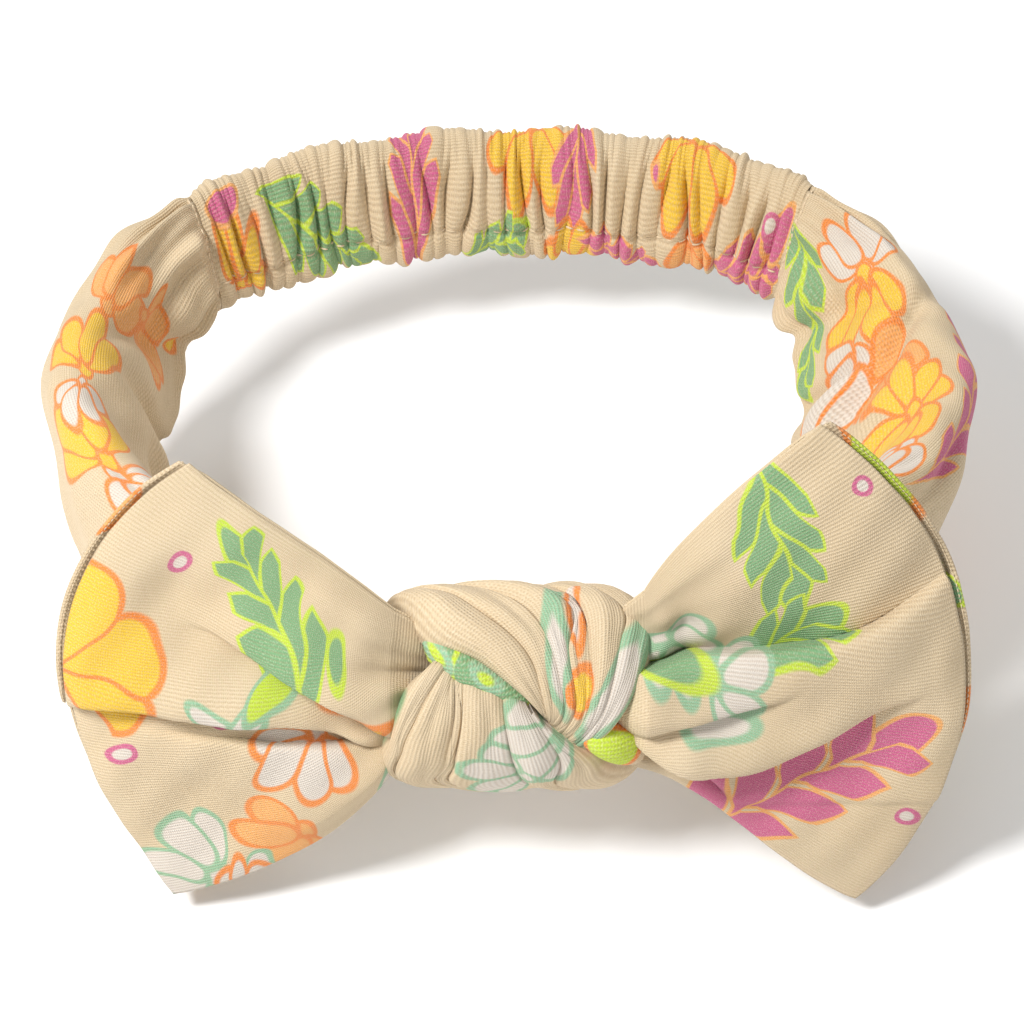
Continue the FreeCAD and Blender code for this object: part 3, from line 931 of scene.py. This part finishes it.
# Creases of the two turns as seen from in front and above: sideways and up from the knot's middle
UPPER_WRAP = [
    [(6.2, -6), (1, -0.4), (-7.4, 5.7), (-17.6, 10.4)],
    [(6.6, -6.8), (4.7, 0.4), (0.6, 8), (-10.6, 15.4)],
    [(7.2, -8.1), (9, -1.9), (6, 9.7), (-0.2, 15.2)],
    [(8.4, -9.1), (11.5, -1.9), (9.9, 7), (9, 15.4)],
    [(9.9, -10.5), (13.8, -3.5), (14.2, 6.3), (11.9, 15.2)],
    [(11.5, -11.7), (16.9, -1.9), (19.8, 8.3), (19.8, 14.1)],
    [(13.4, -13.2), (21.2, -3.5), (24.6, 4.3), (25.8, 12.4)],
]
LOWER_WRAP = [
    [(-16.4, 5.4), (-21.5, -0.6), (-24.6, -10.5), (-25.7, -17.5)],
    [(-14.4, 3.4), (-19.3, -5), (-22.2, -11.2), (-23, -18.5)],
    [(-12.2, 1.6), (-12.2, -5.4), (-13.7, -13.2), (-15.5, -18.5)],
    [(-10.4, 0.8), (-10.8, -6.6), (-12.2, -14.1), (-12.2, -18.8)],
    [(-2.7, -1.8), (-1.9, -8), (-0.5, -14.1), (2.9, -18.6)],
    [(2, -3.6), (6, -9), (8.4, -13.4), (8, -18.2)],
    [(4.5, -6.9), (10.7, -11.7), (15.7, -14.6), (19.2, -16.4)],
]
UPPER_LIFT = (-1.6, 1.8)  # how far the creases lie above the knot's body: at their inner end and on
LOWER_LIFT = (0.0, 0.3)
KNOT_TALL = 19.0
KNOT_DEEP = 15.0
SEEN_TALL = 0.906  # share of the knot's height and depth that shows from the front and above
SEEN_DEEP = 0.423
PLEAT_COLUMNS = 15  # grid columns over one pleat
PLEAT_WIDE = 10.5  # cloth in one pleat
WRAP_LONG = 120.0
WRAP_THICK = 0.7
PLAIN_V = 60.0  # the knot's back is moved by this on the print, off the motifs


def bead(x):
    """Share of the knot's full section left at a distance to the side."""
    reach = np.where(x < 0, 29.0, 29.5)
    power = np.where(x < 0, 5.0, 3.6)
    return (1 - np.minimum(np.abs(x) / reach, 0.985) ** power) ** (1 / power)


def turn_of(x, seen):
    """Angle round the knot, from its top over its front, of a place seen at this height."""
    size = bead(x)
    tall, deep = SEEN_TALL * KNOT_TALL * size, SEEN_DEEP * KNOT_DEEP * size
    return np.arccos(np.clip(seen / np.hypot(tall, deep), -0.99, 0.99)) - np.arctan2(deep, tall)


def on_knot(x, turn, lift):
    """Point on the knot's body, raised by lift: sideways, up the lean and out."""
    size = bead(x)
    up, out = (KNOT_TALL * size + lift) * np.cos(turn), (KNOT_DEEP * size + lift) * np.sin(turn)
    return np.stack([x, up, out], -1)


def resample(points, count):
    """Smooth curve through control points."""
    p = np.vstack([2 * points[0] - points[1], points, 2 * points[-1] - points[-2]])
    t = np.linspace(0, len(points) - 1 - 1e-6, count)
    k = t.astype(int)
    f = (t - k)[:, None]
    a, b, c, d = p[k], p[k + 1], p[k + 2], p[k + 3]
    bend, twist = 2 * a - 5 * b + 4 * c - d, 3 * b - a - 3 * c + d
    return 0.5 * (2 * b + (c - a) * f + bend * f ** 2 + twist * f ** 3)


def crease_stops(places, lifts, turned_by):
    """Stops (sideways, angle, lift) of a crease over one face; its inner end has its own lift."""
    return [(x, float(turn_of(np.array(x), seen)) + turned_by, lifts[min(k, 1)])
            for k, (x, seen) in enumerate(places)]


def under_end(stops):
    """One more stop before the first, down under the cloth that crosses it."""
    (x, turn, lift), (next_x, next_turn, _) = stops[:2]
    return (x * 1.15 - next_x * 0.15, turn * 1.15 - next_turn * 0.15, lift - 3.5)


def wrap_grid(lines):
    """Cloth over a row of creases, puffed up between them, and its count of pleats across."""
    columns, share = [], []
    for i, (a, b) in enumerate(zip(lines, lines[1:])):
        gap = np.linalg.norm(on_knot(*b.T) - on_knot(*a.T), axis=1)
        for f in np.linspace(0, 1, PLEAT_COLUMNS, endpoint=i == len(lines) - 2):
            uneven = 1 + 0.35 * math.sin(math.pi * f + 2.6 * (i % 2))
            hump = max(0.0, 1 - (2 * f - 1) ** 2) ** 0.45 * uneven
            x, turn, lift = (a + (b - a) * f).T
            columns.append(on_knot(x, turn, lift + hump * np.minimum(gap * 0.26, 2.4) - 0.8))
            share.append(i + f)
    return np.array(columns).transpose(1, 0, 2), np.array(share)


def wrap_sheet(name, front, back, front_lift, back_lift, over, material):
    """One turn of cloth: creases over the front, past the top or the bottom, and down the back.

    The back is the other wrap's front turned half round the knot's long axis.
    """
    lines = []
    for near, far in zip(front, back):
        stops = crease_stops(near, front_lift, 0.0)
        rear = crease_stops(far, back_lift, -over * math.pi)
        lines.append(resample(np.array([under_end(stops)] + stops + rear[::-1] + [under_end(rear)]), 170))
    grid, share = wrap_grid(lines)
    edge = np.minimum(share, len(lines) - 1 - share)
    drop = 3.6 * (1 - smooth(0.0, 0.30, edge)) ** 1.5  # both edges turn in under the cloth
    along = np.linspace(0, WRAP_LONG, len(grid))[:, None]
    fine = waves(along, share * 7.0, (0.16, 31, 5.3, 0.3), (0.12, -47, 3.1, 1.0))
    grid[..., 1:] += unit(grid[..., 1:]) * (fine - drop)[..., None]
    printed_v = np.where(grid[..., 2] > 0, grid[..., 1], grid[..., 1] + PLAIN_V)
    piece = make_cloth(name + "_cloth", in_knot(grid), material, uv_map(along, share * PLEAT_WIDE),
                       uv_map(grid[..., 0], printed_v), thickness=WRAP_THICK, flip=over < 0)
    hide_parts(name)
    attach(piece, "knot_and_rear")


def in_knot(local):
    """Local (sideways, up the lean, out) coordinates to the frame."""
    x, v, n = local[..., 0], local[..., 1], local[..., 2]
    return KNOT + TAIL_UP * v[..., None] + TAIL_OUT * n[..., None] + x[..., None] * np.array([1.0, 0, 0])


TUCKS = {  # rolled bits of cloth that show between the turns: their two edges
    "knot_inner_tuck": (
        [(-18.4, 11.6), (-9.0, 7.6), (3.0, -1.6)],
        [(-16.8, 6.6), (-10.2, 0.4), (2.0, -4.2)],
    ),
    "knot_outer_tuck": (
        [(12.0, -8.4), (19.6, -8.2), (25.8, -11.2)],
        [(12.6, -11.6), (17.4, -14.6), (24.8, -17.0)],
    ),
}
STRAND_RADIUS = 4.6
STRAND_REACH = 21.0  # how far the strands go to each side of the knot's middle
STRAND_APART = 5.2  # from the knot's middle to a strand's


def tuck(name, material):
    """A rolled fold between the two turns, thickest in its middle."""
    upper, lower = [resample(np.array(edge, float), 44) for edge in TUCKS[name]]
    rows = []
    ends = np.sin(np.linspace(0, math.pi, 44)) ** 0.5
    for f in np.linspace(0, 1, 25):
        c = upper + (lower - upper) * f
        hump = math.sin(math.pi * f) ** 0.6
        rows.append(on_knot(c[:, 0], turn_of(c[:, 0], c[:, 1]), -2.6 + hump * ends * 4.2))
    grid = np.array(rows).transpose(1, 0, 2)
    piece = make_cloth(name, in_knot(grid), material, uv_map(grid[..., 0], grid[..., 1]), thickness=0.6)
    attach(piece, "knot_and_rear")


def strand(sign, material):
    """The part of a sash inside the knot: a pleated rope from the tail in front to the band behind."""
    side = SIDE[sign]
    turns = np.linspace(0, TAU, 60, endpoint=False)
    t, round_it = np.meshgrid(np.linspace(-1, 1, 60), turns, indexing="ij")
    turn = math.pi / 2 * t
    radius = STRAND_RADIUS + 0.5 * pillow(round_it * 7 + t, 0.7)
    x = -sign * t * STRAND_REACH
    v = -sign * STRAND_APART * np.cos(turn) + radius * np.cos(round_it)
    n = -STRAND_APART * np.sin(turn) + radius * np.sin(round_it)
    piece = make_cloth("knot_" + side + "_strand_cloth", in_knot(np.stack([x, v, n], -1)), material,
                       uv_map(t * 26, round_it * 5, 5 * TAU), tube=True, flip=sign < 0)
    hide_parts("knot_" + side + "_strand")
    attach(piece, "knot_and_rear")


def knot(upper, lower, green, lime, plain):
    """The whole knot, in its five materials."""
    wrap_sheet("knot_upper_wrap", UPPER_WRAP, LOWER_WRAP, UPPER_LIFT, LOWER_LIFT, 1, upper)
    wrap_sheet("knot_lower_wrap", LOWER_WRAP, UPPER_WRAP, LOWER_LIFT, UPPER_LIFT, -1, lower)
    tuck("knot_inner_tuck", green)
    tuck("knot_outer_tuck", lime)
    for sign in (-1, 1):
        strand(sign, plain)


# ---- print of each piece

LEFT_TAIL_PRINT = [
    (flower, "yellow", (-89, 8), 20, 3, 21, 14, 52),
    (sprig, "green", (-39.5, 7), 118, 4, 7.8, 13.5, 6.6, 34),
    (petal, "green", (-33.5, 9), 102, 10, 4.6),
    (ring, (-64.8, 30.3)),
    (ring, (-59, -3)),
    (ring, (-78, -11)),
    (petal, "mint", (-63, 4), 335, 8, 4),
    (petal, "mint", (-57, 1), 10, 9, 4.5),
    (petal, "lime", (-53, 2), 32, 13, 6),
    (blossom, "mint", (-60, -38), 150, 15),
    (blossom, "white", (-39.5, -6), 245, 15),
    (blossom, "peach", (-41, -26), 215, 15),
    (petal, "mint", (-49, -33), 250, 9, 5),
    (blossom, "white", (-55, -44), 70, 9),
    (petal, "mint", (-27, -20), 60, 9, 5),
    (petal, "yellow", (-24, 2), 175, 14, 4),
]
RIGHT_TAIL_PRINT = [
    (sprig, "green", (45.5, 49), 288, 3, 8, 15.5, 6.8, 33),
    (sprig, "green", (46, 10), 36, 2, 8, 14, 6.6, 33),
    (blossom, "mint", (27, 15), 322, 13),
    (blossom, "mint", (38, 7.5), 350, 11),
    (petal, "green", (19, 7.6), 0, 19, 5.6),
    (petal, "mint", (33, -1), 0, 13, 4),
    (sprig, "magenta", (36, -27.5), 28, 4, 11.4, 18, 8, 38),
    (ring, (66, 46)),
    (ring, (78, -26)),
]
LEFT_BACK_PRINT = [
    (blossom, "yellow", (-62, -20), 20, 18),
    (blossom, "white", (-48, 8), 120, 15),
    (sprig, "magenta", (-76, 2), 60, 4, 8, 12, 7),
    (sprig, "green", (-36, -22), 30, 4, 8, 11, 6.5),
    (ring, (-50, 30)),
    (blossom, "peach", (-80, -28), 60, 15),
    (petal, "yellow", (-77.5, -24), 296, 24, 5),
    (petal, "peach", (-80, 36), 45, 12, 4),
]
RIGHT_BACK_PRINT = [
    (blossom, "yellow", (72, -30), 60, 18),
    (blossom, "peach", (76, 8), 150, 16),
    (sprig, "green", (50, 40), 330, 4, 9, 12, 7),
    (sprig, "magenta", (36, 6), 20, 4, 9, 12, 7),
    (blossom, "white", (50, -20), 210, 14),
    (ring, (60, 22)),
    (petal, "citrus", (60, 58), 308, 24, 7),
    (petal, "yellow", (87.5, 2), 250, 44, 7),
]
# Side bands: millimetres along from the knot, and round from the top edge, outer side positive
LEFT_BAND_PRINT = [
    (blossom, "white", (74, 2), 190, 17),
    (blossom, "yellow", (77, 0), 5, 19),
    (blossom, "white", (99, -4), 165, 13),
    (blossom, "yellow", (103, -6), 10, 18),
    (blossom, "peach", (124, -8), 350, 18),
    (blossom, "peach", (132, -22), 285, 13),
    (petal, "yellow", (140, -36), 300, 9, 5),
    (ring, (86, -22)),
    (sprig, "green", (46, 42), 20, 4, 9, 11, 7),
    (sprig, "magenta", (92, 34), 10, 5, 9, 12, 7),
    (blossom, "white", (128, 24), 60, 15),
    (blossom, "yellow", (56, 22), 200, 16),
    (sprig, "green", (40, -34), 40, 4, 8, 10, 6),
]
RIGHT_BAND_PRINT = [
    (sprig, "green", (156, -24), 218, 4, 8, 11, 6, 30),
    (sprig, "magenta", (76, 6), 4, 5, 8.6, 11, 7),
    (blossom, "white", (133, -16), 22, 17),
    (blossom, "yellow", (133, -17), 200, 17),
    (blossom, "white", (117, -24), 268, 16),
    (blossom, "peach", (111, -20), 175, 14),
    (petal, "peach", (112, -24), 60, 13, 6),
    (blossom, "yellow", (92, -16), 20, 15),
    (blossom, "yellow", (93, -15), 195, 17),
    (blossom, "white", (79, -8), 188, 16),
    (sprig, "green", (30, 30), 15, 4, 9, 11, 6.5),
    (blossom, "peach", (90, 40), 340, 16),
    (blossom, "yellow", (130, 26), 200, 16),
    (ring, (62, 34)),
]
# Casing: millimetres of ungathered cloth from the middle of the back, and round it, inner face negative
CASING_PRINT = [
    (sprig, "magenta", (-36, -26), 92, 3, 9, 17, 10, 28),
    (blossom, "yellow", (5, 2), 270, 21),
    (sprig, "magenta", (21, 1), 268, 2, 8, 15, 9, 30),
    (sprig, "green", (-16, -27), 20, 3, 6, 9, 6),
    (blossom, "yellow", (20, -30), 85, 12),
    (sprig, "magenta", (28, -24), 350, 3, 7.5, 10, 7),
    (blossom, "yellow", (62, 0), 268, 20),
    (blossom, "peach", (63, -20), 280, 11),
    (sprig, "magenta", (76, -26), 12, 3, 7.5, 12, 7.5),
    (petal, "magenta", (100, -8), 250, 12, 8),
    (sprig, "green", (-88, -12), 338, 4, 8.5, 13, 8),
    (blossom, "yellow", (-106, -22), 60, 14),
    (petal, "magenta", (-100, -6), 200, 12, 7),
    (petal, "magenta", (50, -12), 120, 5, 3),
    (ring, (94, -14)),
    (blossom, "white", (34, 10), 30, 16),
    (blossom, "yellow", (-50, 12), 30, 17),
    (sprig, "green", (84, 14), 160, 4, 9, 11, 7),
]
UPPER_PRINT = [
    (petal, "mint", (9, 3), 98, 19, 3.6),
    (petal, "white", (11.5, 14), 96, 9, 3),
    (petal, "yellow", (11.8, 2.5), 84, 9, 4.4),
    (petal, "mint", (12.5, -5), 62, 24, 6),
]
LOWER_PRINT = [
    (blossom, "mint", (9, -2), 205, 14),
    (blossom, "mint", (2, -12), 190, 13),
    # a thin sage streak painted as the dark shadow line along the lower turn's edge
    (petal, "moss", (-20.5, 8), 250, 12, 0.9),
]
LIME_PRINT = [
    (petal, "citrus", (14.2, -2.4), 320, 11, 8),
]
TUCK_PRINT = [
    (petal, "green", (-19, 17.5), 325, 10, 8),
    (petal, "green", (-12, 13.2), 322, 10, 9),
    (petal, "green", (-5.4, 8.6), 318, 9, 8),
    (petal, "lime", (-17.5, 14.6), 318, 6, 2.4),
    (petal, "lime", (-8.5, 11.2), 322, 6, 2.2),
]

# ---- build

casing_print = jersey("casing_jersey", CASING_PRINT)
for sign in (-1, 1):
    casing_half(sign, casing_print)
band(-1, jersey("left_band_jersey", LEFT_BAND_PRINT))
band(1, jersey("right_band_jersey", RIGHT_BAND_PRINT))
tail(-1, jersey("left_tail_jersey", LEFT_TAIL_PRINT), jersey("left_back_jersey", LEFT_BACK_PRINT))
tail(1, jersey("right_tail_jersey", RIGHT_TAIL_PRINT), jersey("right_back_jersey", RIGHT_BACK_PRINT))
knot(
    jersey("knot_upper_jersey", UPPER_PRINT, KNOT_SWAY),
    jersey("knot_lower_jersey", LOWER_PRINT, KNOT_SWAY),
    jersey("knot_green_jersey", TUCK_PRINT, KNOT_SWAY),
    jersey("knot_lime_jersey", LIME_PRINT, KNOT_SWAY),
    jersey("strand_jersey", []),
)

# ---- floor, light and camera

CAMERA_ELEVATION = math.radians(50.0)
CAMERA_DISTANCE = 800.0
VIEW_WIDTH = 218.0  # width of what the camera sees at the target
TARGET = KNOT + (-1.0, 65.0, -23.9)
SENSOR = 36.0
FLOOR_SIZE = 6.0  # metres
FLOOR_GAP = 0.6  # the floor is just under the lowest cloth
FLOOR_COLOR = (0.96, 0.96, 0.96, 1.0)
WORLD_LIGHT = 0.42
LIGHTS = {  # place in metres, size and power
    "key": ((-0.45, -0.25, 0.75), 0.24, 8.4),
    "fill": ((0.7, -0.6, 0.6), 0.8, 1.6),
    "back": ((0.2, 0.9, 0.7), 0.6, 3.0),
}


def floor():
    material = bpy.data.materials.new("pale_floor")
    material.use_nodes = True
    shader = material.node_tree.nodes["Principled BSDF"]
    shader.inputs["Base Color"].default_value = FLOOR_COLOR
    shader.inputs["Roughness"].default_value = 0.9
    bpy.ops.mesh.primitive_plane_add(size=FLOOR_SIZE, location=(0, 0, (FLOOR_Z - FLOOR_GAP) * MM))
    plane = bpy.context.object
    plane.name = "floor"
    plane.data.materials.append(material)


def area_light(name, place, size, power):
    """A round lamp that faces the frame's origin."""
    light = bpy.data.lights.new(name, "AREA")
    light.shape = "DISK"
    light.size = size
    light.energy = power
    lamp = add_object(name, light)
    lamp.location = place
    lamp.rotation_euler = (lamp.location * -1).to_track_quat("-Z", "Y").to_euler()


def daylight():
    """Even white light from all round."""
    world = bpy.data.worlds.new("studio")
    world.use_nodes = True
    background = world.node_tree.nodes["Background"]
    background.inputs["Color"].default_value = (1.0, 1.0, 1.0, 1.0)
    background.inputs["Strength"].default_value = WORLD_LIGHT
    bpy.context.scene.world = world


def camera():
    """A camera in front of the object, looking down at it."""
    data = bpy.data.cameras.new("camera")
    data.sensor_width = SENSOR
    data.lens = SENSOR * CAMERA_DISTANCE / VIEW_WIDTH
    view = add_object("camera", data)
    back = np.array([0.0, -math.cos(CAMERA_ELEVATION), math.sin(CAMERA_ELEVATION)])
    view.location = (TARGET + back * CAMERA_DISTANCE) * MM
    view.rotation_euler = (math.pi / 2 - CAMERA_ELEVATION, 0.0, 0.0)
    bpy.context.scene.camera = view


floor()
daylight()
for light_name, settings in LIGHTS.items():
    area_light(light_name, *settings)
bpy.context.scene.view_settings.view_transform = "Standard"
camera()
